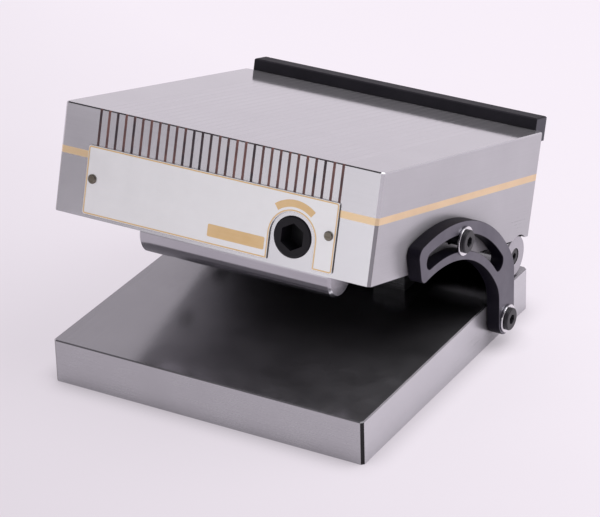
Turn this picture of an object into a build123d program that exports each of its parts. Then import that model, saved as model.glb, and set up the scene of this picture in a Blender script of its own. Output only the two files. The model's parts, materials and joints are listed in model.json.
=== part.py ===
from build123d import *
import math
import os

# Magnetic sine table: a permanent-magnet chuck that tilts on a ground base plate.
# The origin is the middle of the base's underside, +Z is up and the front faces -Y.
# Lengths are in millimetres and angles in degrees. The chuck is tilted, held by its clamp.

os.makedirs("parts", exist_ok=True)

# Base plate, as wide as the chuck
base_depth = 150.0
base_height = 20.0

# Chuck: housing, spacer band and pole plate make up its height
chuck_width = 150.0
chuck_depth = 150.0
housing_height = 25.0
band_height = 3.0
pole_plate_height = 18.5
end_wall = 17.0
side_wall = 16.0
floor_thickness = 9.0
cavity_corner = 4.0

# Edge finish of the ground steel pieces
corner_break = 1.2
edge_break = 0.5

# Sine geometry: two equal rollers under the chuck, the rear one is the hinge
tilt = 16.8
roller_diameter = 20.0
roller_seat = 1.85
sine_distance = 100.0
hinge_inset = 10.0
base_inset = 10.8
rest_gap = 0.1
roller_chamfer = 1.0

# Front roller
front_roller_left_inset = 24.0
front_roller_right_inset = 33.2
front_screw_inset = 15.4
front_thread = 6.0

# Rear roller: three sleeves on one shaft, with two lugs of the base between them
roller_end_gap = 1.0
shaft_diameter = 10.0
end_web = 8.0
rear_thread = 11.0
end_thread = 6.0
lug_width = 15.6
lug_spacing = 60.0
lug_foot_height = 8.0
lug_foot_reach = 24.3
lug_screw_inset = 6.2
lug_screw_pitch = 10.8
lug_counterbore = 3.0
lug_thread = 12.0
lug_heel_radius = 2.0
bush_wall = 2.0

# Laminated pole plate and its screws
pole_pitch = 4.07
separator_width = 1.2
end_block_least = 16.0
plate_screw_inset = 15.0
plate_screw_rear_gap = 11.5
plate_screw_clamp_gap = 17.25
plate_thread = 9.0

# Magnet pack
tray_side_gap = 5.0
tray_end_gap = 2.0
tray_floor = 2.4
tray_front_wall = 6.0
tray_rear_wall = 2.0
tray_side_wall_least = 2.5
tray_rim_drop = 3.4
bar_top_gap = 0.6
bar_fit = 0.05
runner_height = 0.75
runner_width = 10.0
runner_inset = 14.0
runner_end_gap = 4.0

# Actuator, turned with a hexagon key from the front
actuator_inset = 36.8
actuator_height = 12.7
actuator_head = 17.4
actuator_head_depth = 3.0
actuator_head_chamfer = 0.8
actuator_proud = 0.6
actuator_shaft_diameter = 14.0
hexagon_key = 10.0
hexagon_depth = 9.0
groove_core = 11.6
groove_clearance = 0.5
seal_inset = 5.0
seal_width = 1.8
clip_width = 0.9
clip_diameter = 17.0
pin_diameter = 5.0
pin_end_gap = 1.05
pin_play = 0.6

# Name plate, left blank, with a window round the actuator
plate_left_inset = 14.2
plate_right_inset = 17.1
plate_bottom = 1.6
plate_top = 30.8
plate_thickness = 0.8
plate_corner = 1.0
window_gap = 1.75
plate_pin_inset = 3.3
plate_pin_height = 16.8
plate_pin_diameter = 2.0
plate_pin_length = 6.0
plate_pin_head = 4.0
plate_pin_head_height = 0.9
plate_pin_chamfer = 0.5

# Stop rail along the chuck's rear edge
rail_thickness = 10.0
rail_end_inset = 3.7
rail_overlap = 5.7
rail_above = 5.2
rail_screw_inset = 4.5
rail_screw_pitch = 6.5
rail_thread = 8.0

# Slotted quadrant link on the right side: its pivot in the base, and its arcs about a centre ahead of that
link_thickness = 6.0
link_gap = 0.2
pivot_inset = 32.8
pivot_height = 12.2
centre_drop = 14.2
slot_radius = 74.7
slot_play = 1.1
link_outer_wall = 5.7
link_inner_wall = 3.9
link_front_angle = 98.4
slot_front_angle = 91.5
slot_rear_angle = 36.5
stem_width = 14.5
stem_inset = 7.5
link_corner = 4.0
stem_blend = 18.0

# Pivot screw and clamp screw of the link
washer_diameter = 12.5
washer_thickness = 1.0
low_head = 10.0
low_head_height = 1.6
low_head_chamfer = 0.4
low_key = 4.0
low_key_depth = 3.0
link_thread = 6.0
link_thread_length = 12.0
pivot_shoulder = 8.0
clamp_neck = 5.0
clamp_neck_depth = 1.2
clamp_angle = 68.94
clamp_raise = 0.82

# Fasteners: thread, head diameter, head height and key width
m2_5 = (2.5, 4.5, 2.5, 2.0)
m4 = (4.0, 7.0, 4.0, 3.0)
m5 = (5.0, 8.5, 5.0, 4.0)
m5_low = (5.0, 8.5, 3.5, 3.0)
m6 = (6.0, 10.0, 6.0, 5.0)

# Depth of a cap screw's socket as a share of its head height
key_share = 0.6

# Clearances: round fits are radial, the others lie between flat faces
running_fit = 0.03
seat_fit = 0.02
thread_fit = 0.05
hole_fit = 0.25
slide_gap = 0.05
lug_gap = 0.2
lug_eye_gap = 0.3
head_sink = 0.2
roller_head_sink = 1.2
tip_gap = 0.6

# Places that follow from the sizes
base_width = chuck_width
middle = chuck_depth / 2
chuck_height = housing_height + band_height + pole_plate_height
plate_level = housing_height + band_height
cavity_width = chuck_width - 2 * side_wall
cavity_depth = chuck_depth - 2 * end_wall
roller_radius = roller_diameter / 2
axis_below_chuck = roller_radius - roller_seat
hinge_point = (base_depth / 2 - base_inset, base_height + roller_radius + rest_gap)
rear_axis = chuck_depth - hinge_inset
front_axis = rear_axis - sine_distance

# The chuck's own directions and frame, from the hinge axis
chuck_back = Vector(0, math.cos(math.radians(tilt)), -math.sin(math.radians(tilt)))
chuck_up = Vector(0, math.sin(math.radians(tilt)), math.cos(math.radians(tilt)))
hinge_frame = Plane(origin=(0, *hinge_point), x_dir=(1, 0, 0), z_dir=chuck_up)
chuck_origin = hinge_frame.from_local_coords((0, -rear_axis, axis_below_chuck))
chuck_frame = Plane(origin=chuck_origin, x_dir=(1, 0, 0), z_dir=chuck_up)
chuck_rise = Axis(chuck_origin, chuck_up)


# Parallel to the chuck's underside: x across, y from its front edge to the back
def level(height):
    return chuck_frame.offset(height)


# The same level seen from underneath: y runs from the front edge forwards
def below(height):
    return Plane(origin=level(height).origin, x_dir=(1, 0, 0), z_dir=-chuck_up)


# Parallel to the chuck's front face and facing forwards: x across, y up the face
def upright(depth):
    return Plane(origin=chuck_frame.from_local_coords((0, depth, 0)), x_dir=(1, 0, 0), z_dir=-chuck_back)


# The same, seen from behind: x runs to the left, y up the face
def behind(depth):
    return Plane(origin=upright(depth).origin, x_dir=(-1, 0, 0), z_dir=chuck_back)


# Across the chuck, facing right: x runs to the back, y up the chuck
def flank(x):
    return Plane(origin=chuck_frame.from_local_coords((x, 0, 0)), x_dir=chuck_back, z_dir=(1, 0, 0))


# Across the base, facing right: x is the model's Y, y is the model's Z
def section(x):
    return Plane.YZ.offset(x)


# Round holes into the open part, down from the plane
def cut(plane, points, diameter, depth):
    with BuildSketch(plane) as holes:
        with Locations(*points):
            Circle(diameter / 2)
    extrude(holes.sketch, amount=-depth, mode=Mode.SUBTRACT)


# Round bosses or pins on the open part, up from the plane
def grow(plane, points, diameter, height):
    with BuildSketch(plane) as discs:
        with Locations(*points):
            Circle(diameter / 2)
    extrude(discs.sketch, amount=height)


# Hexagon sockets into the open part, down from the plane
def key_sockets(plane, points, key, depth):
    with BuildSketch(plane) as hexagons:
        with Locations(*points):
            RegularPolygon(key / 2, 6, major_radius=False, rotation=30)
    extrude(hexagons.sketch, amount=-depth, mode=Mode.SUBTRACT)


# Clearance holes for a screw size, wider down to the depth of the head's seat
def counterbores(plane, points, screw, seat, reach):
    thread, head = screw[:2]
    cut(plane, points, thread + 2 * hole_fit, reach)
    cut(plane, points, head + 2 * hole_fit, seat)


# Socket cap screws with heads on the plane and threads down from it
def cap_screws(plane, points, screw, reach):
    thread, head, head_height, key = screw
    grow(plane, points, head, head_height)
    grow(plane, points, thread, -reach)
    key_sockets(plane.offset(head_height), points, key, head_height * key_share)


# A ring about each point, up from the plane, or a ring groove
def rings(plane, points, outside, inside, height, mode=Mode.ADD):
    with BuildSketch(plane) as annuli:
        with Locations(*points):
            Circle(outside / 2)
            Circle(inside / 2, mode=Mode.SUBTRACT)
    extrude(annuli.sketch, amount=height, mode=mode)


# Gives a finished piece its name and file
def save(part, name):
    part.label = name
    export_step(part, f"parts/{name}.step")


# Base plate, with threads for the lugs on top and for the link's pivot in its right side
lug_eye_radius = roller_radius - lug_eye_gap
lug_foot_length = lug_eye_radius + lug_foot_reach
bush_diameter = shaft_diameter + 2 * bush_wall
lug_xs = (-lug_spacing / 2, lug_spacing / 2)
lug_front = hinge_point[0] - lug_foot_length
lug_screw_ys = [lug_front + lug_screw_inset + i * lug_screw_pitch for i in range(2)]
lug_screw_points = [(x, y) for x in lug_xs for y in lug_screw_ys]
foot_top = base_height + lug_foot_height
link_pivot = (base_depth / 2 - pivot_inset, pivot_height)

with BuildPart() as base_plate:
    with BuildSketch(Plane.XY):
        Rectangle(base_width, base_depth)
    extrude(amount=base_height)
    chamfer(base_plate.edges().filter_by(Axis.Z), corner_break)
    chamfer(base_plate.faces().sort_by(Axis.Z)[-1].edges(), edge_break)
    cut(Plane.XY.offset(base_height), lug_screw_points, m6[0] + 2 * thread_fit, lug_thread + tip_gap)
    cut(section(base_width / 2), [link_pivot], link_thread + 2 * thread_fit, link_thread_length + tip_gap)
save(base_plate.part, "base_plate")

# Hinge lugs: an eye with a bush, on a foot that is screwed to the base
for x, side in zip(lug_xs, ("left", "right")):
    with BuildPart() as hinge_lug:
        with BuildSketch(section(x - lug_width / 2)):
            with Locations(hinge_point):
                Circle(lug_eye_radius)
                Rectangle(2 * lug_eye_radius, hinge_point[1] - base_height, align=(Align.CENTER, Align.MAX))
            with Locations((hinge_point[0], base_height)):
                Rectangle(lug_foot_length, lug_foot_height, align=(Align.MAX, Align.MIN))
        extrude(amount=lug_width)
        heel = hinge_lug.edges().filter_by(Axis.X).sort_by_distance(
            (x, hinge_point[0] - lug_eye_radius, foot_top))
        fillet(heel[0], lug_heel_radius)
        cut(section(x + lug_width / 2), [hinge_point], bush_diameter + 2 * seat_fit, lug_width)
        counterbores(Plane.XY.offset(foot_top), [(x, y) for y in lug_screw_ys], m6, lug_counterbore,
                     lug_foot_height)
    save(hinge_lug.part, f"hinge_lug_{side}")

    with BuildPart() as hinge_bush:
        rings(section(x - lug_width / 2), [hinge_point], bush_diameter, shaft_diameter + 2 * running_fit,
              lug_width)
    save(hinge_bush.part, f"hinge_bush_{side}")

with BuildPart() as lug_screws:
    cap_screws(Plane.XY.offset(foot_top - lug_counterbore), lug_screw_points, m6,
               lug_foot_height - lug_counterbore + lug_thread)
save(lug_screws.part, "lug_screws")

# Where the rollers lie and where their screws go
roller_bottom = -axis_below_chuck - roller_radius
roller_head_seat = roller_bottom + m5_low[2] + roller_head_sink
front_roller_left = front_roller_left_inset - chuck_width / 2
front_roller_length = chuck_width - front_roller_left_inset - front_roller_right_inset
front_screw_xs = [front_roller_left + x for x in (front_screw_inset, front_roller_length - front_screw_inset)]
rear_roller_length = chuck_width - 2 * roller_end_gap
outer_sleeve_inside = lug_spacing / 2 + lug_width / 2 + lug_gap
outer_sleeve_length = rear_roller_length / 2 - outer_sleeve_inside
end_screw_tip = rear_roller_length / 2 - end_web - end_thread - tip_gap
outer_sleeve_screw = (outer_sleeve_inside + end_screw_tip) / 2
centre_sleeve_length = lug_spacing - lug_width - 2 * lug_gap
rear_screw_xs = [-outer_sleeve_screw, 0.0, outer_sleeve_screw]

# The link's arcs, and the clamp screw on the slot's arc, taken into the chuck's frame
slot_width = clamp_neck + 2 * slot_play
link_outer_radius = slot_radius + slot_width / 2 + link_outer_wall
link_inner_radius = slot_radius - slot_width / 2 - link_inner_wall
stem_reach = slot_radius - stem_inset
link_centre = (link_pivot[0] - stem_reach, link_pivot[1] - centre_drop)
clamp_arc = CenterArc(link_centre, slot_radius + clamp_raise, clamp_angle, 1, mode=Mode.PRIVATE)
clamp_point = clamp_arc @ 0
clamp_local = chuck_frame.to_local_coords(Vector(0, clamp_point.X, clamp_point.Y))
clamp_place = (clamp_local.Y, clamp_local.Z)

# Where the pole plate's screws and the name plate's pins go
separator_room = chuck_width / 2 - end_block_least - separator_width / 2
separators_each_side = int(separator_room / pole_pitch)
separator_count = 2 * separators_each_side + 1
border_inside = separators_each_side * pole_pitch + separator_width / 2
block_width = chuck_width / 2 - border_inside
block_x = border_inside + block_width / 2
plate_screw_last = rear_axis - roller_radius - plate_screw_rear_gap
beside_clamp = [clamp_place[0] + i * plate_screw_clamp_gap for i in (-1, 1)]
plate_screw_ys = [plate_screw_inset, *beside_clamp, plate_screw_last]
plate_screw_points = [(side * block_x, -y) for side in (-1, 1) for y in plate_screw_ys]
plate_screw_seat = m5[2] + head_sink
plate_left = plate_left_inset - chuck_width / 2
plate_right = chuck_width / 2 - plate_right_inset
plate_pin_points = [(plate_left + plate_pin_inset, plate_pin_height),
                    (plate_right - plate_pin_inset, plate_pin_height)]
actuator_x = chuck_width / 2 - actuator_inset
actuator_place = (actuator_x, actuator_height)
window_width = actuator_head + 2 * window_gap

# The actuator's clip lies against the inside of the front wall
clip_place = end_wall + slide_gap
shaft_end = clip_place + clip_width + tip_gap

# Housing: a ground steel box, open at the top for the magnet pack
with BuildPart() as chuck_housing:
    with BuildSketch(level(0)):
        with Locations((0, middle)):
            Rectangle(chuck_width, chuck_depth)
    extrude(amount=housing_height)
    chamfer(chuck_housing.edges().filter_by(chuck_rise), corner_break)
    with BuildSketch(level(floor_thickness)):
        with Locations((0, middle)):
            RectangleRounded(cavity_width, cavity_depth, cavity_corner)
    extrude(amount=housing_height - floor_thickness, mode=Mode.SUBTRACT)
    # Ground seats for the rollers
    cut(flank(chuck_width / 2), [(rear_axis, -axis_below_chuck)], roller_diameter + 2 * seat_fit, chuck_width)
    cut(flank(front_roller_left + front_roller_length + roller_chamfer), [(front_axis, -axis_below_chuck)],
        roller_diameter + 2 * seat_fit, front_roller_length + 2 * roller_chamfer)
    # Threads for the roller screws, from below
    cut(below(0), [(x, -front_axis) for x in front_screw_xs], m5[0] + 2 * thread_fit, front_thread + tip_gap)
    cut(below(0), [(x, -rear_axis) for x in rear_screw_xs], m5[0] + 2 * thread_fit, rear_thread + tip_gap)
    # The pole plate's screws go up through the side walls
    counterbores(below(0), plate_screw_points, m5, plate_screw_seat, housing_height)
    # Stepped bore for the actuator, pin holes of the name plate and the clamp screw's thread
    cut(upright(0), [actuator_place], actuator_shaft_diameter + 2 * running_fit, end_wall)
    cut(upright(0), [actuator_place], actuator_head + 2 * running_fit, actuator_head_depth + slide_gap)
    cut(upright(end_wall), [actuator_place], clip_diameter + 2 * hole_fit, shaft_end + tip_gap - end_wall)
    cut(upright(0), plate_pin_points, plate_pin_diameter + 2 * thread_fit, plate_pin_length + tip_gap)
    cut(flank(chuck_width / 2), [clamp_place], link_thread + 2 * thread_fit, link_thread_length + tip_gap)
save(chuck_housing.part, "chuck_housing")

# Spacer band between the housing and the pole plate
with BuildPart() as spacer_band:
    with BuildSketch(level(housing_height)):
        with Locations((0, middle)):
            Rectangle(chuck_width, chuck_depth)
    extrude(amount=band_height)
    chamfer(spacer_band.edges().filter_by(chuck_rise), corner_break)
    with BuildSketch(level(housing_height)):
        with Locations((0, middle)):
            RectangleRounded(cavity_width, cavity_depth, cavity_corner)
    extrude(amount=band_height, mode=Mode.SUBTRACT)
    cut(below(housing_height), plate_screw_points, m5[0] + 2 * hole_fit, band_height)
save(spacer_band.part, "spacer_band")

# Laminated pole plate: poles and separators side by side between two steel end blocks
rail_length = chuck_width - 2 * rail_end_inset
rail_screw_height = chuck_height - rail_overlap / 2
rail_screw_near = [rail_length / 2 - rail_screw_inset - i * rail_screw_pitch for i in range(2)]
rail_screw_points = [(side * x, rail_screw_height) for side in (-1, 1) for x in rail_screw_near]

for side, name in ((-1, "end_block_left"), (1, "end_block_right")):
    with BuildPart() as end_block:
        with BuildSketch(level(plate_level)):
            with Locations((side * block_x, middle)):
                Rectangle(block_width, chuck_depth)
        extrude(amount=pole_plate_height)
        outer_corners = end_block.edges().filter_by(chuck_rise).sort_by(Axis.X, reverse=side > 0)[:2]
        chamfer(outer_corners, corner_break)
        top_edges = end_block.faces().sort_by(chuck_rise)[-1].edges()
        chamfer(top_edges.sort_by(Axis.X, reverse=side > 0)[:-1], edge_break)
        cut(below(plate_level), [(x, y) for x, y in plate_screw_points if x * side > 0],
            m5[0] + 2 * thread_fit, plate_thread + tip_gap)
        cut(behind(chuck_depth), [(x, y) for x, y in rail_screw_points if x * side < 0],
            m2_5[0] + 2 * thread_fit, rail_thread + tip_gap)
    save(end_block.part, name)

with BuildPart() as pole_laminations:
    with BuildSketch(level(plate_level)):
        with Locations((0, middle)):
            with GridLocations(pole_pitch, 1, separator_count - 1, 1):
                Rectangle(pole_pitch - separator_width, chuck_depth)
    extrude(amount=pole_plate_height)
    tops = pole_laminations.faces().filter_by(chuck_rise).group_by(chuck_rise)[-1]
    chamfer(tops.edges().filter_by(Axis.X), edge_break)
save(pole_laminations.part, "pole_laminations")

with BuildPart() as pole_separators:
    with BuildSketch(level(plate_level)):
        with Locations((0, middle)):
            with GridLocations(pole_pitch, 1, separator_count, 1):
                Rectangle(separator_width, chuck_depth)
    extrude(amount=pole_plate_height)
    tops = pole_separators.faces().filter_by(chuck_rise).group_by(chuck_rise)[-1]
    chamfer(tops.edges().filter_by(Axis.X), edge_break)
save(pole_separators.part, "pole_separators")

with BuildPart() as plate_screws:
    cap_screws(below(plate_screw_seat), plate_screw_points, m5, plate_level - plate_screw_seat + plate_thread)
save(plate_screws.part, "plate_screws")

# Stop rail behind the pole plate, screwed to the end blocks
rail_height = rail_overlap + rail_above
rail_seat = m2_5[2] + head_sink
with BuildPart() as stop_rail:
    with BuildSketch(behind(chuck_depth)):
        with Locations((0, chuck_height - rail_overlap)):
            Rectangle(rail_length, rail_height, align=(Align.CENTER, Align.MIN))
    extrude(amount=rail_thickness)
    chamfer(stop_rail.faces().sort_by(chuck_rise)[-1].edges(), edge_break)
    counterbores(behind(chuck_depth + rail_thickness), rail_screw_points, m2_5, rail_seat, rail_thickness)
save(stop_rail.part, "stop_rail")

with BuildPart() as rail_screws:
    cap_screws(behind(chuck_depth + rail_thickness - rail_seat), rail_screw_points, m2_5,
               rail_thickness - rail_seat + rail_thread)
save(rail_screws.part, "rail_screws")

# Name plate on the front, open below the actuator
plate_middle = ((plate_left + plate_right) / 2, (plate_bottom + plate_top) / 2)
with BuildPart() as name_plate:
    with BuildSketch(upright(0)):
        with Locations(plate_middle):
            RectangleRounded(plate_right - plate_left, plate_top - plate_bottom, plate_corner)
        with Locations(actuator_place):
            Circle(window_width / 2, mode=Mode.SUBTRACT)
            Rectangle(window_width, actuator_height, align=(Align.CENTER, Align.MAX), mode=Mode.SUBTRACT)
    extrude(amount=plate_thickness)
    cut(upright(-plate_thickness), plate_pin_points, plate_pin_diameter + 2 * hole_fit, plate_thickness)
save(name_plate.part, "name_plate")

with BuildPart() as name_plate_pins:
    grow(upright(-plate_thickness), plate_pin_points, plate_pin_head, plate_pin_head_height)
    grow(upright(-plate_thickness), plate_pin_points, plate_pin_diameter, -plate_thickness - plate_pin_length)
    heads = name_plate_pins.faces().sort_by(Axis(chuck_origin, -chuck_back))[-2:]
    chamfer(heads.edges(), plate_pin_chamfer)
save(name_plate_pins.part, "name_plate_pins")

# Front roller: a plain ground bar, screwed up into its seat
with BuildPart() as front_roller:
    grow(flank(front_roller_left), [(front_axis, -axis_below_chuck)], roller_diameter, front_roller_length)
    chamfer(front_roller.edges().filter_by(GeomType.CIRCLE), roller_chamfer)
    counterbores(below(roller_bottom), [(x, -front_axis) for x in front_screw_xs], m5_low,
                 m5_low[2] + roller_head_sink, roller_diameter)
save(front_roller.part, "front_roller")

with BuildPart() as front_roller_screws:
    cap_screws(below(roller_head_seat), [(x, -front_axis) for x in front_screw_xs], m5_low,
               front_thread - roller_head_seat)
save(front_roller_screws.part, "front_roller_screws")

# Rear roller: sleeves held to the chuck, locked to the hinge shaft by the same screws
sleeves = {
    "hinge_sleeve_left": (-rear_roller_length / 2, outer_sleeve_length, -outer_sleeve_screw),
    "hinge_sleeve_centre": (-centre_sleeve_length / 2, centre_sleeve_length, 0.0),
    "hinge_sleeve_right": (outer_sleeve_inside, outer_sleeve_length, outer_sleeve_screw),
}
end_seat = m4[2] + head_sink
shaft_length = rear_roller_length - 2 * end_web
axis_place = (rear_axis, -axis_below_chuck)
for name, (start, length, screw_x) in sleeves.items():
    outward = math.copysign(1, screw_x) if screw_x else 0
    with BuildPart() as sleeve:
        grow(flank(start), [axis_place], roller_diameter, length)
        if outward:
            chamfer(sleeve.edges().sort_by(Axis.X, reverse=outward > 0)[0], roller_chamfer)
            end_x = outward * rear_roller_length / 2
            end_face = flank(end_x)
            cut(end_face, [axis_place], m4[0] + 2 * hole_fit, outward * length)
            cut(end_face, [axis_place], m4[1] + 2 * hole_fit, outward * end_seat)
            cut(flank(end_x - outward * end_web), [axis_place], shaft_diameter + 2 * seat_fit,
                outward * (length - end_web))
        else:
            cut(flank(start + length), [axis_place], shaft_diameter + 2 * seat_fit, length)
        counterbores(below(roller_bottom), [(screw_x, -rear_axis)], m5_low, m5_low[2] + roller_head_sink,
                     roller_diameter)
    save(sleeve.part, name)

with BuildPart() as hinge_shaft:
    grow(flank(-shaft_length / 2), [axis_place], shaft_diameter, shaft_length)
    cut(below(roller_bottom), [(x, -rear_axis) for x in rear_screw_xs], m5[0] + 2 * hole_fit, roller_diameter)
    for end in (-1, 1):
        cut(flank(end * shaft_length / 2), [axis_place], m4[0] + 2 * thread_fit, end * (end_thread + tip_gap))
save(hinge_shaft.part, "hinge_shaft")

with BuildPart() as sleeve_screws:
    cap_screws(below(roller_head_seat), [(x, -rear_axis) for x in rear_screw_xs], m5_low,
               rear_thread - roller_head_seat)
save(sleeve_screws.part, "sleeve_screws")

with BuildPart() as shaft_end_screws:
    for end in (-1, 1):
        seat_x = end * (rear_roller_length / 2 - end_seat)
        grow(flank(seat_x), [axis_place], m4[1], end * m4[2])
        grow(flank(seat_x), [axis_place], m4[0], -end * (end_web - end_seat + end_thread))
        key_sockets(flank(seat_x + end * m4[2]), [axis_place], m4[3], end * m4[2] * key_share)
save(shaft_end_screws.part, "shaft_end_screws")

# Magnet pack: magnets and poles in a tray that slides by one pole pitch to switch the field
eccentricity = pole_pitch / 2
tray_width = cavity_width - 2 * tray_side_gap
tray_length = cavity_depth - 2 * tray_end_gap
tray_level = floor_thickness + runner_height + slide_gap
tray_front = end_wall + tray_end_gap
bar_front = tray_front + tray_front_wall
bar_length = tray_length - tray_front_wall - tray_rear_wall - bar_fit
bar_level = tray_level + tray_floor
bar_height = plate_level - bar_top_gap - bar_level
tray_height = bar_level + bar_height - tray_rim_drop - tray_level
bars_each_side = int((tray_width / 2 - tray_side_wall_least - bar_fit - pole_pitch / 2) / pole_pitch)
bar_count = 2 * bars_each_side + 1
bar_room = bar_count * pole_pitch + 2 * bar_fit
pin_x = actuator_x - eccentricity
pin_slot_top = actuator_height + eccentricity + pin_diameter / 2 + pin_play
with BuildPart() as magnet_tray:
    with BuildSketch(level(tray_level)):
        with Locations((0, middle)):
            Rectangle(tray_width, tray_length)
    extrude(amount=tray_height)
    with BuildSketch(level(bar_level)):
        with Locations((0, bar_front)):
            Rectangle(bar_room, bar_length + bar_fit, align=(Align.CENTER, Align.MIN))
    extrude(amount=tray_height, mode=Mode.SUBTRACT)
    with BuildSketch(upright(tray_front)):
        with Locations((pin_x, 0)):
            Rectangle(pin_diameter + 2 * pin_play, pin_slot_top, align=(Align.CENTER, Align.MIN))
    extrude(amount=-tray_front_wall, mode=Mode.SUBTRACT)
save(magnet_tray.part, "magnet_tray")

# Magnets and poles take turns across the tray
for name, phase in (("magnet_bars", 1), ("pack_pole_bars", 0)):
    bar_xs = [(i - bars_each_side) * pole_pitch for i in range(phase, bar_count, 2)]
    with BuildPart() as bars:
        with BuildSketch(level(bar_level)):
            with Locations(*[(x, bar_front) for x in bar_xs]):
                Rectangle(pole_pitch, bar_length, align=(Align.CENTER, Align.MIN))
        extrude(amount=bar_height)
    save(bars.part, name)

# Brass runners on the housing's floor under the tray
runner_pitch = tray_length - 2 * runner_inset
with BuildPart() as runners:
    with BuildSketch(level(floor_thickness)):
        with Locations((0, middle)):
            with GridLocations(runner_pitch, runner_pitch, 1, 2):
                Rectangle(cavity_width - 2 * runner_end_gap, runner_width)
    extrude(amount=runner_height)
save(runners.part, "tray_runners")

# Actuator: a stepped shaft with a key socket, a seal, a clip and an eccentric pin for the tray
seal_place = end_wall - seal_inset
pin_length = tray_front + tray_front_wall - pin_end_gap - shaft_end
with BuildPart() as actuator_shaft:
    grow(upright(-actuator_proud), [actuator_place], actuator_head, -actuator_proud - actuator_head_depth)
    chamfer(actuator_shaft.edges().sort_by(Axis(chuck_origin, chuck_back))[0], actuator_head_chamfer)
    grow(upright(actuator_head_depth), [actuator_place], actuator_shaft_diameter,
         actuator_head_depth - shaft_end)
    grow(upright(shaft_end), [(pin_x, actuator_height)], pin_diameter, -pin_length)
    key_sockets(upright(-actuator_proud), [actuator_place], hexagon_key, hexagon_depth)
    for place, width in ((seal_place, seal_width), (clip_place, clip_width)):
        rings(upright(place), [actuator_place], actuator_shaft_diameter + 2 * groove_clearance, groove_core,
              -width, mode=Mode.SUBTRACT)
save(actuator_shaft.part, "actuator_shaft")

with BuildPart() as actuator_seal:
    rings(upright(seal_place), [actuator_place], actuator_shaft_diameter, groove_core + 2 * seat_fit,
          -seal_width)
save(actuator_seal.part, "actuator_seal")

with BuildPart() as actuator_clip:
    rings(upright(clip_place), [actuator_place], clip_diameter, groove_core + 2 * seat_fit, -clip_width)
save(actuator_clip.part, "actuator_clip")

# Quadrant link: an arc band with a slot, which blends into a stem with the pivot hole
link_inside = chuck_width / 2 + link_gap
link_outside = link_inside + link_thickness
outer_start = math.degrees(math.acos((stem_reach + stem_width / 2) / link_outer_radius))
inner_start = math.degrees(math.acos((stem_reach - stem_width / 2) / link_inner_radius))
with BuildPart() as quadrant_link:
    with BuildSketch(section(link_inside)) as link_face:
        with BuildLine():
            outer = CenterArc(link_centre, link_outer_radius, outer_start, link_front_angle - outer_start)
            inner = CenterArc(link_centre, link_inner_radius, inner_start, link_front_angle - inner_start)
            Line(outer @ 1, inner @ 1)
            foot = CenterArc(link_pivot, stem_width / 2, 180, 180)
            Line(inner @ 0, foot @ 0)
            Line(foot @ 1, outer @ 0)
        make_face()
        for corner, radius in ((outer @ 1, link_corner), (inner @ 1, link_corner), (outer @ 0, stem_blend),
                               (inner @ 0, stem_blend)):
            fillet(link_face.vertices().sort_by_distance(corner)[0], radius)
        with BuildLine(mode=Mode.PRIVATE):
            slot_angle = slot_front_angle - slot_rear_angle
            slot_line = CenterArc(link_centre, slot_radius, slot_rear_angle, slot_angle)
        SlotArc(slot_line, slot_width, mode=Mode.SUBTRACT)
        with Locations(link_pivot):
            Circle(pivot_shoulder / 2 + running_fit, mode=Mode.SUBTRACT)
    extrude(amount=link_thickness)
save(quadrant_link.part, "quadrant_link")

# Pivot screw: its shoulder carries the link and clamps a washer
washer_level = link_outside + slide_gap
head_level = washer_level + washer_thickness
side_face = base_width / 2
with BuildPart() as pivot_screw:
    grow(section(head_level), [link_pivot], low_head, low_head_height)
    chamfer(pivot_screw.edges().sort_by(Axis.X)[-1], low_head_chamfer)
    grow(section(side_face), [link_pivot], pivot_shoulder, washer_level - side_face)
    grow(section(head_level), [link_pivot], link_thread, side_face - head_level - link_thread_length)
    key_sockets(section(head_level + low_head_height), [link_pivot], low_key, low_key_depth)
save(pivot_screw.part, "pivot_screw")

with BuildPart() as pivot_washer:
    rings(section(washer_level), [link_pivot], washer_diameter, link_thread + 2 * hole_fit, washer_thickness)
save(pivot_washer.part, "pivot_washer")

# Clamp screw: its neck runs in the slot and its thread pulls the link against the chuck
neck_end = chuck_width / 2 - clamp_neck_depth
with BuildPart() as clamp_screw:
    grow(flank(head_level), [clamp_place], low_head, low_head_height)
    chamfer(clamp_screw.edges().sort_by(Axis.X)[-1], low_head_chamfer)
    grow(flank(head_level), [clamp_place], clamp_neck, neck_end - head_level)
    grow(flank(neck_end), [clamp_place], link_thread, clamp_neck_depth - link_thread_length)
    key_sockets(flank(head_level + low_head_height), [clamp_place], low_key, low_key_depth)
save(clamp_screw.part, "clamp_screw")

with BuildPart() as clamp_washer:
    rings(flank(washer_level), [clamp_place], washer_diameter, clamp_neck + 2 * hole_fit, washer_thickness)
save(clamp_washer.part, "clamp_washer")
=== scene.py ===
import bpy
import bmesh
import json
import math
from mathutils import Matrix, Vector


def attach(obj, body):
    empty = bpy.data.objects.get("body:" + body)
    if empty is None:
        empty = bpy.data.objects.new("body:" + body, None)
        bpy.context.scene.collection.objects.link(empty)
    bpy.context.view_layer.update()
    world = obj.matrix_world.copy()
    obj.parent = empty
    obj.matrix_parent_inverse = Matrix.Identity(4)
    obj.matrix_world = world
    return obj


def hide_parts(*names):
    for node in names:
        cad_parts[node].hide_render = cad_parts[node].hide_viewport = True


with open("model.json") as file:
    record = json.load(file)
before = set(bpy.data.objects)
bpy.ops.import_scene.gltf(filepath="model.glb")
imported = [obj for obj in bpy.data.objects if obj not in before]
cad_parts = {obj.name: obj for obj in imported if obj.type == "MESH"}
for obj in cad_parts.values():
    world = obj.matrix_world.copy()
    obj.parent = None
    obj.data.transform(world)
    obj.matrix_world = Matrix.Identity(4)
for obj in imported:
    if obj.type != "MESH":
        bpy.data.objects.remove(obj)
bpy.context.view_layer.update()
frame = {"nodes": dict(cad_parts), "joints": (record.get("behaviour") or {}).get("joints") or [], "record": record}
nodes = frame["nodes"]
mm = 0.001
print("frame loaded:", len(nodes), "nodes")

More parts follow.
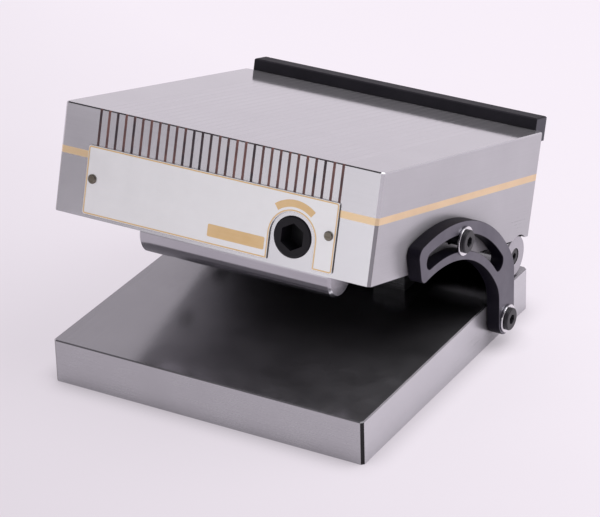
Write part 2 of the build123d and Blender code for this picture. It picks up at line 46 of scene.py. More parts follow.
# The chuck's own directions, from the tilt joint and the working face
sineTable = {
    "hingeDepth": 140, "hingeDrop": 8.15,  # the hinge seen from the chuck's front bottom edge
    "polePitch": 4.07,
}
joints = {joint["name"]: joint for joint in frame["joints"]}
mounts = {mount["name"]: mount for mount in frame["record"]["mounts"]}
tiltAngle = math.radians(-joints["tilt"]["range_deg"][0])
chuckUp = Vector(mounts["working_face"]["axis"])
chuckBack = Vector((0, math.cos(tiltAngle), -math.sin(tiltAngle)))
hingePoint = Vector(joints["tilt"]["pos_m"])
chuckCorner = hingePoint - chuckBack * sineTable["hingeDepth"] * mm + chuckUp * sineTable["hingeDrop"] * mm


# Chuck millimetres (across, back from the front edge, up) to the model's metres
def chuckMatrix():
    turned = Matrix((Vector((1, 0, 0)), chuckBack, chuckUp)).transposed().to_4x4()
    return Matrix.Translation(chuckCorner) @ turned @ Matrix.Scale(mm, 4)


# Each named input of a node gets a value or a link
def fill(tree, node, inputs):
    for name, value in inputs.items():
        socket = node.inputs[name]
        if isinstance(value, bpy.types.NodeSocket):
            tree.links.new(value, socket)
        else:
            socket.default_value = value


# One shader node: its inputs are filled, and the other arguments are its settings
def put(tree, kind, inputs=None, **settings):
    node = tree.nodes.new("ShaderNode" + kind)
    for name, value in settings.items():
        setattr(node, name, value)
    fill(tree, node, inputs or {})
    return node


def calculate(tree, operation, first, second=0.0, clamp=False):
    return put(tree, "Math", {0: first, 1: second}, operation=operation, use_clamp=clamp).outputs[0]


def mixNumber(tree, factor, low, high):
    return put(tree, "Mix", {0: factor, 2: low, 3: high}).outputs[0]


def mixColour(tree, factor, low, high):
    return put(tree, "Mix", {0: factor, 6: low, 7: high}, data_type="RGBA").outputs[2]


def spread(tree, value, low, high, outLow=0.0, outHigh=1.0):
    inputs = {"Value": value, "From Min": low, "From Max": high, "To Min": outLow, "To Max": outHigh}
    return put(tree, "MapRange", inputs).outputs[0]


def noise(tree, vector, scale, detail, roughness):
    inputs = {"Vector": vector, "Scale": scale, "Detail": detail, "Roughness": roughness}
    return put(tree, "TexNoise", inputs).outputs[0]


def stretched(tree, place, scale):
    return put(tree, "VectorMath", {0: place, 1: scale}, operation="MULTIPLY").outputs[0]


def colour(red, green, blue):
    return (red, green, blue, 1)


black = colour(0, 0, 0)

# What the finishes share. The bump's depth is in millimetres. A normal points one way by more than
# "straight" on a face that looks that way, and by less than "slight" on a face that doesn't.
finishing = {
    "bumpDepth": 0.02, "wearSamples": 4, "gapSamples": 6, "flatDot": 0.999, "edgeDot": 0.93,
    "wearScale": 900, "wearLeast": 0.5, "straight": 0.9, "slight": 0.3,
}

# The part of a noise's range that is spread out: the narrower, the harder the pattern
noiseSpan = {
    "soft": (0.3, 0.7), "wide": (0.2, 0.8), "lines": (0.25, 0.75), "narrow": (0.35, 0.65),
    "streaks": (0.35, 0.75), "specks": (0.72, 0.80),
}


def startMaterial(name):
    material = bpy.data.materials.new(name)
    material.use_nodes = True
    tree = material.node_tree
    tree.nodes.clear()
    shader = put(tree, "BsdfPrincipled")
    output = put(tree, "OutputMaterial", {"Surface": shader.outputs[0]})
    output.location = (300, 0)
    return material, tree, shader


# Object coordinates and normals, turned flat for what rides on the tilted chuck
def placeOn(tree, tilted):
    coordinates = put(tree, "TexCoord")
    turn = (tiltAngle, 0, 0) if tilted else (0, 0, 0)
    place = put(tree, "Mapping", {"Vector": coordinates.outputs["Object"], "Rotation": turn})
    facing = put(tree, "Mapping", {"Vector": coordinates.outputs["Normal"], "Rotation": turn},
                 vector_type="NORMAL")
    return place.outputs[0], facing.outputs[0]


# How much of a normal points one way: all of it, some of it or hardly any, each 0 or 1
def pointing(tree, share):
    size = calculate(tree, "ABSOLUTE", share)
    fully = calculate(tree, "GREATER_THAN", size, finishing["straight"])
    hardly = calculate(tree, "LESS_THAN", size, finishing["slight"])
    some = calculate(tree, "GREATER_THAN", size, finishing["slight"])
    notAll = calculate(tree, "LESS_THAN", size, finishing["straight"])
    return fully, calculate(tree, "MULTIPLY", some, notAll), hardly


# Which way a face looks: to a side, up or down, on a broken corner between two sides,
# or on the broken edge of a front
def faceKinds(tree, facing):
    parts = put(tree, "SeparateXYZ", {0: facing})
    isSide, partlySide, hardlySide = pointing(tree, parts.outputs[0])
    isTop, partlyTop, hardlyTop = pointing(tree, parts.outputs[2])
    isCorner = calculate(tree, "MULTIPLY", partlySide, hardlyTop)
    isBreak = calculate(tree, "MULTIPLY", partlyTop, hardlySide)
    return isSide, isTop, isCorner, isBreak


# The tone with lighter edges, where a rounded normal leaves the true one
def wornEdges(tree, tone, look, place):
    rounded = put(tree, "Bevel", {"Radius": look["wearRadius"] * mm}, samples=finishing["wearSamples"])
    geometry = put(tree, "NewGeometry")
    dot = put(tree, "VectorMath", {0: rounded.outputs[0], 1: geometry.outputs["True Normal"]},
              operation="DOT_PRODUCT").outputs["Value"]
    onEdge = spread(tree, dot, finishing["flatDot"], finishing["edgeDot"])
    patches = noise(tree, place, scale=finishing["wearScale"], detail=3, roughness=0.6)
    breakUp = spread(tree, patches, *noiseSpan["soft"], finishing["wearLeast"], 1.0)
    worn = calculate(tree, "MULTIPLY", onEdge, breakUp, clamp=True)
    return mixColour(tree, calculate(tree, "MULTIPLY", worn, look["wear"]), tone, look["edge"])


# How open a place lies, and a painted shade: 1 in the open, and the look's own share deep in a gap
def opennessAndPaintedShade(tree, look):
    inputs = {"Distance": look["gapReach"]}
    gap = put(tree, "AmbientOcclusion", inputs, samples=finishing["gapSamples"]).outputs["AO"]
    return gap, spread(tree, gap, look["gapClosed"], look["gapOpen"], look["gapPaintedShade"], 1.0)


# A roughness that a noise moves up and down by the given amount
def vary(tree, rough, pattern, span, amount):
    swing = spread(tree, pattern, *noiseSpan[span], -amount, amount)
    return calculate(tree, "ADD", rough, swing, clamp=True)


def fineBump(tree, look, grain):
    inputs = {"Strength": look["bump"], "Distance": finishing["bumpDepth"] * mm, "Height": grain}
    return put(tree, "Bump", inputs).outputs[0]


# A chance value for each strip of the pole plate, counted across by rounding down or to the nearest
def stripOdds(tree, place, look, counting):
    across = put(tree, "SeparateXYZ", {0: place}).outputs[0]
    strip = calculate(tree, counting, calculate(tree, "DIVIDE", across, look["pitch"]))
    return put(tree, "TexWhiteNoise", {"W": strip}, noise_dimensions="1D").outputs[0]


# Fine grain along a finish, and wide soft clouds over it
def grainAndCloud(tree, place, look):
    grain = noise(tree, stretched(tree, place, look["grain"]), scale=1, detail=5, roughness=0.65)
    cloud = noise(tree, place, scale=look["cloudScale"], detail=4, roughness=0.55)
    return grain, cloud


# Clouds between the dark and the light tone, with streaks of the edge tone
def cloudyTone(tree, look, grain, cloud):
    tone = mixColour(tree, spread(tree, cloud, *noiseSpan["soft"]), look["dark"], look["light"])
    streaks = spread(tree, grain, *noiseSpan["streaks"], 0, look["grainTone"])
    return mixColour(tree, streaks, tone, look["edge"])


# Ground steel: grinding lines along the longer way of each face, faint stains, bright worn edges, painted light
# and shade on each kind of face, and painted shade in gaps
def groundSteel(name, look, tilted):
    material, tree, shader = startMaterial(name)
    place, facing = placeOn(tree, tilted)
    isSide, isTop, isCorner, isBreak = faceKinds(tree, facing)
    density, length = look["lineDensity"], look["lineLength"]
    topLines = stretched(tree, place, (density, length, length))
    sideLines = stretched(tree, place, (length, length, density))
    lines = put(tree, "Mix", {0: isTop, 4: sideLines, 5: topLines}, data_type="VECTOR").outputs[1]
    grain = noise(tree, lines, scale=1, detail=6, roughness=0.7)
    stains = noise(tree, place, scale=look["stainScale"], detail=5, roughness=0.6)
    specks = noise(tree, place, scale=look["speckScale"], detail=2, roughness=0.5)

    # The colour: stains, lines, specks and worn edges
    tone = mixColour(tree, spread(tree, stains, *noiseSpan["soft"]), look["dark"], look["light"])
    inLine = mixColour(tree, look["lineDark"], tone, black)
    tone = mixColour(tree, spread(tree, grain, *noiseSpan["lines"]), inLine, tone)
    specked = calculate(tree, "MULTIPLY", spread(tree, specks, *noiseSpan["specks"]), look["specks"])
    tone = mixColour(tree, specked, tone, look["speckTone"])
    tone = wornEdges(tree, tone, look, place)

    # Painted light and shade: each kind of face gets its own share of the tone for the way light falls on it, and
    # painted shade darkens gaps, most of all on level faces
    shade = mixNumber(tree, isSide, look["frontPaintedLight"], look["sidePaintedLight"])
    shade = mixNumber(tree, isTop, shade, look["topPaintedLight"])
    shade = mixNumber(tree, isCorner, shade, look["cornerPaintedLight"])
    shade = mixNumber(tree, isBreak, shade, look["breakPaintedLight"])
    gap, paintedGapShade = opennessAndPaintedShade(tree, look)
    paintedLevelShade = calculate(tree, "POWER", paintedGapShade, look["levelPaintedShadePower"])
    shade = calculate(tree, "MULTIPLY", shade, mixNumber(tree, isTop, paintedGapShade, paintedLevelShade))
    tone = mixColour(tree, shade, black, tone)
    if "pitch" in look:
        odds = stripOdds(tree, place, look, "FLOOR")
        tone = mixColour(tree, spread(tree, odds, 0, 1, 0, look["stripTone"]), tone, look["dark"])

    # Each kind of face has its roughness, uneven along the lines and in the stains
    rough = mixNumber(tree, isSide, look["frontRoughness"], look["sideRoughness"])
    rough = mixNumber(tree, isTop, rough, look["topRoughness"])
    rough = vary(tree, rough, grain, "wide", look["uneven"])
    rough = vary(tree, rough, stains, "soft", look["stainRough"])

    # Haze takes some of the metal's depth in the open, and none in gaps
    hazy = spread(tree, stains, *noiseSpan["narrow"], look["metallic"], look["metallic"] - look["haze"])
    inOpen = spread(tree, gap, look["hazeClosed"], look["hazeOpen"])
    metallic = mixNumber(tree, inOpen, look["gapMetallic"], hazy)
    metallic = mixNumber(tree, isSide, metallic, look["sideMetallic"])
    fill(tree, shader, {"Base Color": tone, "Roughness": rough, "Metallic": metallic,
                        "Normal": fineBump(tree, look, grain)})
    return material


# The strips between the poles: ground flush and bright on top, dark where the front shows their edges
def separatorStrip(name, look, tilted):
    material, tree, shader = startMaterial(name)
    place, facing = placeOn(tree, tilted)
    isTop = faceKinds(tree, facing)[1]
    grain, cloud = grainAndCloud(tree, place, look)
    odds = stripOdds(tree, place, look, "ROUND")
    clouded = spread(tree, cloud, *noiseSpan["narrow"], -look["cloudTone"], look["cloudTone"])
    mixed = calculate(tree, "ADD", clouded, odds, clamp=True)
    dark = mixColour(tree, mixed, look["dark"], look["light"])
    bright = mixColour(tree, spread(tree, grain, *noiseSpan["soft"]), look["topDark"], look["topLight"])
    rough = mixNumber(tree, isTop, look["roughness"], look["topRoughness"])
    fill(tree, shader, {"Base Color": mixColour(tree, isTop, dark, bright),
                        "Roughness": vary(tree, rough, grain, "wide", look["uneven"]),
                        "Metallic": calculate(tree, "MULTIPLY", isTop, look["metallic"]),
                        "Normal": fineBump(tree, look, grain)})
    return material


# The link: blackened all over, then ground on its two flat faces
def linkSteel(name, look, tilted):
    material, tree, shader = startMaterial(name)
    place, facing = placeOn(tree, tilted)
    isSide = faceKinds(tree, facing)[0]
    grain, cloud = grainAndCloud(tree, place, look)
    tone = mixColour(tree, isSide, look["oxide"], cloudyTone(tree, look, grain, cloud))
    rough = mixNumber(tree, isSide, look["edgeRoughness"], look["roughness"])
    fill(tree, shader, {"Base Color": wornEdges(tree, tone, look, place),
                        "Roughness": vary(tree, rough, grain, "wide", look["uneven"]),
                        "Metallic": isSide, "Specular IOR Level": look["specular"],
                        "Normal": fineBump(tree, look, grain)})
    return material


# Brass, black oxide, rubber and other plain finishes, with a grain of their own
def plainFinish(name, look, tilted):
    material, tree, shader = startMaterial(name)
    place, facing = placeOn(tree, tilted)
    grain, cloud = grainAndCloud(tree, place, look)
    tone = cloudyTone(tree, look, grain, cloud)
    # Faces that look to a side get the look's ends tone: on the name plate a painted shade along its side edges,
    # on the rail a lighter tone on its ends
    if "ends" in look:
        tone = mixColour(tree, faceKinds(tree, facing)[0], tone, look["ends"])
    if look["wear"] > 0:
        tone = wornEdges(tree, tone, look, place)
    rough = vary(tree, look["roughness"], grain, "wide", look["uneven"])
    rough = vary(tree, rough, cloud, "soft", look["cloudRough"])
    fill(tree, shader, {"Base Color": tone, "Roughness": rough, "Metallic": look["metallic"],
                        "Specular IOR Level": look["specular"], "Normal": fineBump(tree, look, grain)})
    return material


# The same share of painted light on every kind of face
def allFaces(share):
    return dict.fromkeys(("frontPaintedLight", "sidePaintedLight", "topPaintedLight", "cornerPaintedLight", "breakPaintedLight"), share)


# The shares by kind of face are painted light and shade; the base's corner breaks get a painted dark line
baseSteelLook = {
    "light": colour(0.68, 0.675, 0.70), "dark": colour(0.62, 0.615, 0.64), "edge": colour(0.80, 0.79, 0.82),
    "frontPaintedLight": 0.74, "sidePaintedLight": 1.0, "topPaintedLight": 1.0, "cornerPaintedLight": 0.05, "breakPaintedLight": 0.45,
    "lineDensity": 2600, "lineLength": 22, "lineDark": 0.07, "stainScale": 28, "stainRough": 0.02,
    "specks": 0.20, "speckScale": 1400, "speckTone": colour(0.12, 0.10, 0.09),
    "wear": 0.15, "wearRadius": 0.35, "bump": 0.08, "uneven": 0.04,
    "topRoughness": 0.17, "frontRoughness": 0.26, "sideRoughness": 0.30,
    "metallic": 0.95, "sideMetallic": 0.80, "gapMetallic": 1.0,
    "haze": 0.10, "hazeClosed": 0.45, "hazeOpen": 0.85,
    "gapReach": 0.05, "gapClosed": 0.12, "gapOpen": 0.42, "gapPaintedShade": 0.10, "levelPaintedShadePower": 2.5,
}
# The chuck's level faces, its underside among them, are painted darker
chuckSteelLook = dict(baseSteelLook, frontPaintedLight=0.98, sidePaintedLight=0.82, topPaintedLight=0.30, cornerPaintedLight=0.46,
                      topRoughness=0.42, frontRoughness=0.22, uneven=0.02, haze=0.0,
                      metallic=0.90, sideMetallic=0.38, gapMetallic=0.90, gapReach=0.02, gapOpen=0.70)
endSteelLook = dict(chuckSteelLook, topPaintedLight=0.755, cornerPaintedLight=1.0, breakPaintedLight=0.12, topRoughness=0.085,
                    metallic=0.66, gapMetallic=0.66)
poleSteelLook = dict(endSteelLook, pitch=sineTable["polePitch"] * mm, stainScale=40, stripTone=0.12)
rollerLook = dict(baseSteelLook, **allFaces(1.0), light=colour(0.50, 0.49, 0.52),
                  dark=colour(0.44, 0.43, 0.46), topRoughness=0.16, frontRoughness=0.16, sideRoughness=0.16,
                  specks=0.05, bump=0.05, haze=0.0, metallic=1.0, sideMetallic=1.0, gapPaintedShade=0.7, levelPaintedShadePower=1.0)
# Sleeves and lugs go near black deep in gaps, a painted shade, and the lugs are painted darker all over
sleeveLook = dict(rollerLook, gapOpen=0.75, gapPaintedShade=0.05)
lugLook = dict(baseSteelLook, **allFaces(0.5), gapOpen=0.75, gapPaintedShade=0.05)
brassLook = {
    "light": colour(0.87, 0.66, 0.41), "dark": colour(0.76, 0.56, 0.34), "edge": colour(0.94, 0.80, 0.56),
    "grain": (40, 40, 2600), "cloudScale": 60, "grainTone": 0.25, "wear": 0.2, "wearRadius": 0.4,
    "roughness": 0.34, "uneven": 0.06, "cloudRough": 0.04, "bump": 0.10, "metallic": 1.0, "specular": 0.5,
}
separatorLook = {
    "light": colour(0.190, 0.085, 0.070), "dark": colour(0.030, 0.018, 0.024),
    "topLight": colour(0.50, 0.495, 0.515), "topDark": colour(0.455, 0.45, 0.47),
    "grain": (900, 30, 900), "cloudScale": 150, "cloudTone": 0.35, "pitch": sineTable["polePitch"] * mm,
    "roughness": 0.45, "topRoughness": 0.095, "uneven": 0.03, "bump": 0.08, "metallic": 0.58,
}
oxideLook = {
    "light": colour(0.020, 0.020, 0.024), "dark": colour(0.010, 0.010, 0.013),
    "edge": colour(0.10, 0.095, 0.11), "grain": (1200, 40, 1200), "cloudScale": 90, "grainTone": 0.08,
    "wear": 0.35, "wearRadius": 0.4, "roughness": 0.36, "uneven": 0.06, "cloudRough": 0.04,
    "bump": 0.10, "metallic": 0.0, "specular": 0.35,
}
railLook = dict(oxideLook, light=colour(0.029, 0.028, 0.034), dark=colour(0.021, 0.020, 0.025),
                ends=colour(0.10, 0.10, 0.115), roughness=0.58, wear=0.2, specular=0.12)
linkLook = dict(oxideLook, light=colour(0.145, 0.14, 0.165), dark=colour(0.105, 0.10, 0.125),
                edge=colour(0.30, 0.29, 0.33), oxide=colour(0.005, 0.004, 0.009), grain=(600, 900, 60),
                roughness=0.34, edgeRoughness=0.5, grainTone=0.12, wear=0.10, specular=0.12)
brightLook = dict(brassLook, light=colour(0.80, 0.79, 0.81), dark=colour(0.74, 0.73, 0.75),
                  edge=colour(0.92, 0.91, 0.93), roughness=0.20)
# The pins are darker all over, a painted reflection standing in for the dark spot on their heads; their edges are
# worn bright
pinLook = dict(brassLook, light=colour(0.15, 0.13, 0.10), dark=colour(0.09, 0.075, 0.055),
               edge=colour(0.55, 0.53, 0.47), wear=0.5, roughness=0.30)
bronzeLook = dict(brassLook, light=colour(0.50, 0.30, 0.14), dark=colour(0.40, 0.23, 0.10), roughness=0.40)
socketLook = dict(oxideLook, light=colour(0.012, 0.011, 0.014), dark=colour(0.006, 0.006, 0.008),
                  edge=colour(0.06, 0.055, 0.065), roughness=0.44, specular=0.22)
magnetLook = dict(oxideLook, light=colour(0.08, 0.08, 0.085), dark=colour(0.05, 0.05, 0.055), roughness=0.5)
aluminiumLook = dict(brightLook, light=colour(0.66, 0.67, 0.69), dark=colour(0.58, 0.59, 0.61),
                     roughness=0.36)
rubberLook = dict(oxideLook, wear=0.0, roughness=0.62, grainTone=0.02)
# The plate's ends tone is a painted shade along its side edges
plateLook = {
    "light": colour(0.93, 0.945, 0.94), "dark": colour(0.87, 0.885, 0.88), "edge": colour(0.95, 0.94, 0.90),
    "ends": colour(0.05, 0.035, 0.02), "grain": (30, 900, 1800), "cloudScale": 70, "grainTone": 0.20,
    "wear": 0.15, "wearRadius": 0.4, "roughness": 0.36, "uneven": 0.06, "cloudRough": 0.04,
    "bump": 0.06, "metallic": 0.6, "specular": 0.5,
}
printLook = dict(plateLook, light=colour(0.84, 0.61, 0.32), dark=colour(0.74, 0.51, 0.24),
                 edge=colour(0.90, 0.72, 0.44), wear=0.0, metallic=0.5)

# Each finish: its name, its maker, its look, and whether it lies on the tilted chuck
recipes = [
    ("baseSteel", groundSteel, baseSteelLook, False),
    ("chuckSteel", groundSteel, chuckSteelLook, True),
    ("endSteel", groundSteel, endSteelLook, True),
    ("poleSteel", groundSteel, poleSteelLook, True),
    ("rollerSteel", groundSteel, rollerLook, True),
    ("sleeveSteel", groundSteel, sleeveLook, True),
    ("lugSteel", groundSteel, lugLook, False),
    ("bandBrass", plainFinish, brassLook, True),
    ("separatorStrip", separatorStrip, separatorLook, True),
    ("blackOxide", plainFinish, oxideLook, False),
    ("socketBlack", plainFinish, socketLook, True),
    ("linkSteel", linkSteel, linkLook, False),
    ("railOxide", plainFinish, railLook, True),
    ("brightSteel", plainFinish, brightLook, False),
    ("pinSteel", plainFinish, pinLook, True),
    ("bushBronze", plainFinish, bronzeLook, False),
    ("magnetBlack", plainFinish, magnetLook, True),
    ("trayAluminium", plainFinish, aluminiumLook, True),
    ("sealRubber", plainFinish, rubberLook, True),
    ("plateSilver", plainFinish, plateLook, True),
    ("printGold", plainFinish, printLook, True),
]
materials = {name: maker(name, look, tilted) for name, maker, look, tilted in recipes}
finishes = {
    "baseSteel": ["base_plate"],
    "lugSteel": ["hinge_lug_left", "hinge_lug_right"],
    "bushBronze": ["hinge_bush_left", "hinge_bush_right", "tray_runners"],
    "railOxide": ["stop_rail"],
    "blackOxide": ["lug_screws", "pivot_screw", "plate_screws", "rail_screws", "front_roller_screws",
                   "sleeve_screws", "shaft_end_screws", "actuator_clip", "clamp_screw"],
    "socketBlack": ["actuator_shaft"],
    "brightSteel": ["pivot_washer", "clamp_washer"],
    "pinSteel": ["name_plate_pins"],
    "chuckSteel": ["chuck_housing"],
    "endSteel": ["end_block_left", "end_block_right"],
    "poleSteel": ["pole_laminations", "pack_pole_bars"],
    "bandBrass": ["spacer_band"],
    "separatorStrip": ["pole_separators"],
    "plateSilver": ["name_plate"],
    "rollerSteel": ["front_roller", "hinge_shaft"],
    "sleeveSteel": ["hinge_sleeve_left", "hinge_sleeve_centre", "hinge_sleeve_right"],
    "magnetBlack": ["magnet_bars"],
    "trayAluminium": ["magnet_tray"],
    "sealRubber": ["actuator_seal"],
    "linkSteel": ["quadrant_link"],
}
for finish, names in finishes.items():
    for name in names:
        nodes[name].data.materials.clear()
        nodes[name].data.materials.append(materials[finish])
print("finishes:", len(materials))


# A finished bmesh becomes an object in the scene
def newObject(bm, name, material):
    mesh = bpy.data.meshes.new(name)
    bm.to_mesh(mesh)
    bm.free()
    mesh.materials.append(material)
    piece = bpy.data.objects.new(name, mesh)
    bpy.context.scene.collection.objects.link(piece)
    return piece


rounding = {
    "mergeDistance": 0.002, "flatAngle": 0.5, "sharpAngle": 35, "smoothAngle": 40,  # millimetres and degrees
}


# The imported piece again, merged, with its sharp edges rounded
def roundedCopy(node, body, finish, slot, width, segments):
    bm = bmesh.new()
    bm.from_mesh(nodes[node].data)
    bmesh.ops.remove_doubles(bm, verts=bm.verts, dist=rounding["mergeDistance"] * mm)
    flatAngle, sharpAngle = math.radians(rounding["flatAngle"]), math.radians(rounding["sharpAngle"])
    bmesh.ops.dissolve_limit(bm, angle_limit=flatAngle, verts=bm.verts, edges=bm.edges)
    sharp = [edge for edge in bm.edges if edge.is_manifold and edge.calc_face_angle() > sharpAngle]
    bmesh.ops.bevel(bm, geom=sharp, offset=width * mm, affect="EDGES", segments=segments, profile=0.5,
                    material=-1, clamp_overlap=True)
    piece = newObject(bm, node + "_rounded", materials[finish])
    piece.data.shade_smooth()
    piece.data.set_sharp_from_angle(angle=math.radians(rounding["smoothAngle"]))
    weighted = piece.modifiers.new("weighted", "WEIGHTED_NORMAL")
    weighted.keep_sharp = True
    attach(piece, body)
    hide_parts(node)


# Node, body, finish, slot, width of the rounding in millimetres, and its segments
roundedPieces = [
    ("quadrant_link", "link", "linkSteel", "link_steel", 0.6, 3),
    ("clamp_screw", "clamp", "blackOxide", "black_steel", 0.25, 2),
    ("clamp_washer", "clamp_seat", "brightSteel", "bright_steel", 0.2, 2),
    ("pivot_screw", "base", "blackOxide", "black_steel", 0.25, 2),
    ("pivot_washer", "base", "brightSteel", "bright_steel", 0.2, 2),
    ("stop_rail", "chuck", "railOxide", "black_steel", 0.2, 2),
    ("front_roller", "chuck", "rollerSteel", "bright_steel", 0.15, 2),
    ("hinge_sleeve_left", "chuck", "sleeveSteel", "bright_steel", 0.15, 2),
    ("hinge_sleeve_centre", "chuck", "sleeveSteel", "bright_steel", 0.15, 2),
    ("hinge_sleeve_right", "chuck", "sleeveSteel", "bright_steel", 0.15, 2),
    ("actuator_shaft", "actuator", "socketBlack", "black_steel", 0.3, 2),
    ("name_plate", "chuck", "plateSilver", "plate", 0.12, 2),
    ("hinge_lug_left", "base", "lugSteel", "ground_steel", 0.3, 2),
    ("hinge_lug_right", "base", "lugSteel", "ground_steel", 0.3, 2),
    ("lug_screws", "base", "blackOxide", "black_steel", 0.2, 2),
    ("rail_screws", "chuck", "blackOxide", "black_steel", 0.15, 2),
    ("shaft_end_screws", "chuck", "blackOxide", "black_steel", 0.15, 2),
]
for row in roundedPieces:
    roundedCopy(*row)
print("rounded pieces:", len(roundedPieces))

# Prints on the name plate: a gold border, a band over the actuator and a blank bar
platePrint = {
    "left": -60.8, "right": 57.9, "bottom": 1.6, "top": 30.8, "face": -0.8, "thickness": 0.03, "inset": 0.25,
    "lineWidth": 0.55, "corner": 1.0, "cornerSegments": 4,
    "windowWidth": 20.9, "windowRound": 0.999, "windowSegments": 16, "actuatorX": 38.2, "actuatorZ": 12.7,
    "bandInside": 12.3, "bandOutside": 15.3, "bandStart": 52, "bandEnd": 128, "bandSteps": 20,
    "barLeft": -0.6, "barRight": 26.0, "barBottom": 4.9, "barTop": 10.1, "barCorner": 0.6,
}


# A flat shape standing on the plate's face, from its corners across and up
def flatFace(bm, corners):
    verts = [bm.verts.new((x, platePrint["face"], z)) for x, z in corners]
    bm.faces.new(verts)
    return verts


def roundCorners(bm, verts, offset, segments):
    bmesh.ops.bevel(bm, geom=verts, offset=offset, affect="VERTICES", segments=segments, profile=0.5,
                    material=-1)


# The flat shape gets its thickness, and rides on the chuck as a print
def finishPrint(bm, name):
    grown = bmesh.ops.extrude_face_region(bm, geom=bm.faces[:])
    moved = [item for item in grown["geom"] if isinstance(item, bmesh.types.BMVert)]
    bmesh.ops.translate(bm, vec=(0, -platePrint["thickness"], 0), verts=moved)
    bmesh.ops.transform(bm, matrix=chuckMatrix(), verts=bm.verts)
    bmesh.ops.recalc_face_normals(bm, faces=bm.faces)
    piece = newObject(bm, name, materials["printGold"])
    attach(piece, "chuck")


# A line along the plate's edge, which goes round the actuator's window
def plateBorder():
    p = platePrint
    left, right = p["left"] + p["inset"], p["right"] - p["inset"]
    bottom, top = p["bottom"] + p["inset"], p["top"] - p["inset"]
    half = p["windowWidth"] / 2 + p["inset"]
    windowLeft, windowRight, windowTop = p["actuatorX"] - half, p["actuatorX"] + half, p["actuatorZ"] + half
    bm = bmesh.new()
    verts = flatFace(bm, [(left, bottom), (left, top), (right, top), (right, bottom), (windowRight, bottom),
                          (windowRight, windowTop), (windowLeft, windowTop), (windowLeft, bottom)])
    roundCorners(bm, verts[:4], p["corner"], p["cornerSegments"])
    roundCorners(bm, verts[5:7], half * p["windowRound"], p["windowSegments"])
    ring = bmesh.ops.inset_region(bm, faces=bm.faces[:], thickness=p["lineWidth"], use_even_offset=True,
                                  use_boundary=True)
    line = set(ring["faces"])
    inside = [face for face in bm.faces if face not in line]
    bmesh.ops.delete(bm, geom=inside, context="FACES_ONLY")
    finishPrint(bm, "plate_border")


def plateBand():
    p = platePrint
    start = math.radians(p["bandStart"])
    bm = bmesh.new()
    centre = Vector((p["actuatorX"], p["face"], p["actuatorZ"]))
    outward = Vector((math.cos(start), 0, math.sin(start)))
    ends = [bm.verts.new(centre + outward * radius) for radius in (p["bandInside"], p["bandOutside"])]
    edge = bm.edges.new(ends)
    bmesh.ops.spin(bm, geom=[edge] + ends, cent=centre, axis=(0, -1, 0), steps=p["bandSteps"],
                   angle=math.radians(p["bandEnd"] - p["bandStart"]))
    finishPrint(bm, "plate_band")


def plateBar():
    p = platePrint
    bm = bmesh.new()
    verts = flatFace(bm, [(p["barLeft"], p["barBottom"]), (p["barLeft"], p["barTop"]),
                          (p["barRight"], p["barTop"]), (p["barRight"], p["barBottom"])])
    roundCorners(bm, verts, p["barCorner"], p["cornerSegments"])
    finishPrint(bm, "plate_bar")


plateBorder()
plateBand()
plateBar()
print("name plate printed")

# The floor is pale, with painted shade: a little darker near the camera, and a painted contact shadow where the
# table stands
floorLook = {
    "size": 6.0, "near": colour(0.80, 0.746, 0.807), "far": colour(0.99, 0.927, 1.0), "away": (0.50, 0.87, 0),
    "nearEnd": -0.18, "farStart": 0.12, "cloudScale": 3, "cloudShift": 0.02, "roughness": 0.6,
    "contactReach": 0.012, "contactClosed": 0.35, "contactOpen": 0.95, "paintedContactShadow": 0.55,
    "contactSamples": 8, "shadowless": 0.70,
}


# 1 for what the camera, a reflection or a clear piece looks at
def seenDirectly(tree):
    path = put(tree, "LightPath")
    seen = calculate(tree, "MAXIMUM", path.outputs["Is Camera Ray"], path.outputs["Is Glossy Ray"])
    return calculate(tree, "MAXIMUM", seen, path.outputs["Is Transmission Ray"])


def addFloor():
    look = floorLook
    material, tree, shader = startMaterial("floorPale")
    place = put(tree, "TexCoord").outputs["Object"]
    away = put(tree, "VectorMath", {0: place, 1: look["away"]}, operation="DOT_PRODUCT").outputs["Value"]
    cloud = noise(tree, place, scale=look["cloudScale"], detail=3, roughness=0.6)
    shift = spread(tree, cloud, *noiseSpan["soft"], -look["cloudShift"], look["cloudShift"])
    away = calculate(tree, "ADD", away, shift)
    tone = mixColour(tree, spread(tree, away, look["nearEnd"], look["farStart"]), look["near"], look["far"])
    fill(tree, shader, {"Base Color": tone, "Roughness": look["roughness"]})
    # A painted contact shadow: the glow is darker where the floor meets the table
    contact = put(tree, "AmbientOcclusion", {"Distance": look["contactReach"]},
                  samples=look["contactSamples"]).outputs["AO"]
    strength = spread(tree, contact, look["contactClosed"], look["contactOpen"], look["paintedContactShadow"], 1.0)
    glow = put(tree, "Emission", {"Color": tone, "Strength": strength})
    share = calculate(tree, "MULTIPLY", seenDirectly(tree), look["shadowless"])
    both = put(tree, "MixShader", {0: share, 1: shader.outputs[0], 2: glow.outputs[0]})
    output = next(node for node in tree.nodes if node.type == "OUTPUT_MATERIAL")
    tree.links.new(both.outputs[0], output.inputs["Surface"])
    bm = bmesh.new()
    bmesh.ops.create_grid(bm, x_segments=1, y_segments=1, size=look["size"] / 2)
    newObject(bm, "floor", material)


# The world: a pale backdrop behind the table, and a dimmer room in front of it and above it in reflections
worldLook = {
    "pale": colour(0.87, 0.81, 0.88), "ambient": 0.62, "frontGlow": 0.42, "frontEnd": -0.85, "backStart": 0.1,
    "roofGlow": 0.45, "wallEnd": 0.12, "roofStart": 0.5,
}


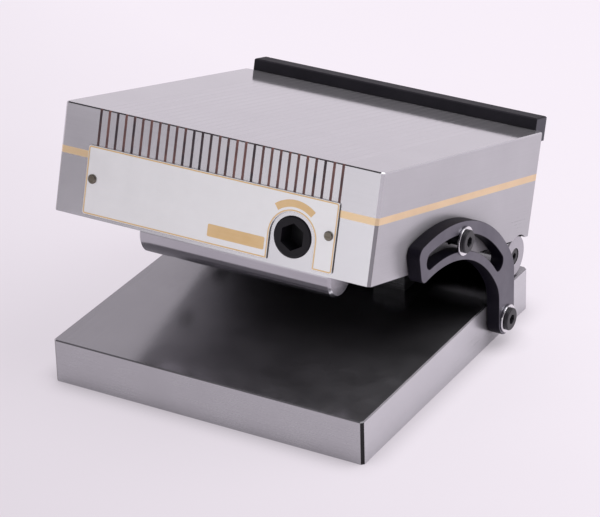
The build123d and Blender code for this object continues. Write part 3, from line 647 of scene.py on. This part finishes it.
def addWorld():
    look = worldLook
    world = bpy.data.worlds.new("studio")
    bpy.context.scene.world = world
    world.use_nodes = True
    tree = world.node_tree
    tree.nodes.clear()
    direction = put(tree, "SeparateXYZ", {0: put(tree, "TexCoord").outputs["Generated"]})
    room = spread(tree, direction.outputs[1], look["frontEnd"], look["backStart"], look["frontGlow"], 1.0)
    roof = spread(tree, direction.outputs[2], look["wallEnd"], look["roofStart"], 1.0, look["roofGlow"])
    reflected = calculate(tree, "MULTIPLY", room, roof)
    path = put(tree, "LightPath")
    strength = mixNumber(tree, path.outputs["Is Glossy Ray"], look["ambient"], reflected)
    clear = calculate(tree, "MAXIMUM", path.outputs["Is Camera Ray"], path.outputs["Is Transmission Ray"])
    strength = mixNumber(tree, clear, strength, 1.0)
    background = put(tree, "Background", {"Color": look["pale"], "Strength": strength})
    put(tree, "OutputWorld", {"Surface": background.outputs[0]})


lamps = {
    "keyLamp": {"place": (0.9, 0.5, 1.7), "size": 1.4, "power": 16},
    "frontLamp": {"place": (-0.30, -1.4, 0.30), "size": 0.80, "power": 1.9},
}
lampAim = (0, 0, 0.05)


def addLamp(name, place, size, power):
    lamp = bpy.data.lights.new(name, "AREA")
    lamp.size = size
    lamp.energy = power
    piece = bpy.data.objects.new(name, lamp)
    piece.location = place
    aim = Vector(lampAim) - Vector(place)
    piece.rotation_euler = aim.to_track_quat("-Z", "Y").to_euler()
    bpy.context.scene.collection.objects.link(piece)


addFloor()
addWorld()
for name, lamp in lamps.items():
    addLamp(name, **lamp)

# The camera stands where the photograph was taken
view = {
    "place": (0.5997, -1.0057, 0.6601), "azimuth": 30.66, "elevation": 27.85, "roll": -1.66,
    "lens": 185.466, "sensor": 36, "nearest": 0.05, "furthest": 20,
}


def addCamera():
    azimuth, elevation = math.radians(view["azimuth"]), math.radians(view["elevation"])
    back = Vector((math.sin(azimuth) * math.cos(elevation), -math.cos(azimuth) * math.cos(elevation),
                   math.sin(elevation)))
    right = Vector((0, 0, 1)).cross(back).normalized()
    turned = Matrix((right, back.cross(right), back)).transposed()
    rolled = turned @ Matrix.Rotation(math.radians(view["roll"]), 3, "Z")
    lens = bpy.data.cameras.new("camera")
    lens.lens = view["lens"]
    lens.sensor_width = view["sensor"]
    lens.sensor_fit = "HORIZONTAL"
    lens.clip_start = view["nearest"]
    lens.clip_end = view["furthest"]
    camera = bpy.data.objects.new("camera", lens)
    camera.matrix_world = Matrix.Translation(view["place"]) @ rolled.to_4x4()
    bpy.context.scene.collection.objects.link(camera)
    bpy.context.scene.camera = camera


addCamera()
bpy.context.scene.view_settings.view_transform = "Standard"
print("studio ready")
